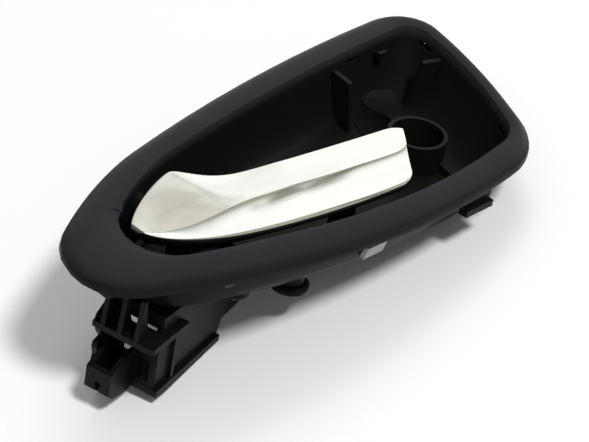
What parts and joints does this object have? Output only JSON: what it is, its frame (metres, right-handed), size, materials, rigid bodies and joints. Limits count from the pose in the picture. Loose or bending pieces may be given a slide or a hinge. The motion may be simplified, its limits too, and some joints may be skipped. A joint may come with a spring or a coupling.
{
  "type": "car interior door handle",
  "caption": "Car interior door handle: bright pull lever hinged in a dark moulded bezel with a finger bowl, a screw tower and a cable bracket behind the nose.",
  "frame": {"origin": "on the axis of the screw tower, in the plane of the back face that seats on the door's inner panel", "axes": "+X from the nose to the wide heel end, +Y to the far long side of the bowl, +Z out of the door towards the hand"},
  "size_m": [0.2051, 0.0962, 0.0557],
  "materials": {
    "bezel_plastic": "fine leather-like grain, matte",
    "bright_plating": "polished plating on a moulded shell",
    "carrier_plastic": "plain moulded",
    "bracket_plastic": "smooth moulded, glass-filled",
    "zinc_steel": "zinc plated",
    "spring_steel": "drawn wire",
    "black_rubber": "matte",
    "felt": "pressed fibre"
  },
  "bodies": {
    "base": {"bezel_housing": "bezel_plastic", "hinge_pin": "zinc_steel", "pin_clip": "zinc_steel", "return_spring": "spring_steel", "cable_bracket": "bracket_plastic", "bracket_screws": "zinc_steel", "closed_buffer": "black_rubber", "open_buffer": "black_rubber", "locating_grommet": "black_rubber", "rattle_pad": "felt", "tower_sleeve": "zinc_steel"},
    "handle": {"handle_shell": "bright_plating", "handle_carrier": "carrier_plastic"}
  },
  "joints": [
    {"name": "handle_swing", "type": "hinge", "parent": "base", "child": "handle", "pos_m": [-0.1155, 0, 0.0185], "axis": [0, -1, 0], "range_deg": [0, 40], "stiffness_Nm_per_rad": 0.25, "springref_deg": -57.3, "deforming": ["return_spring"]}
  ]
}
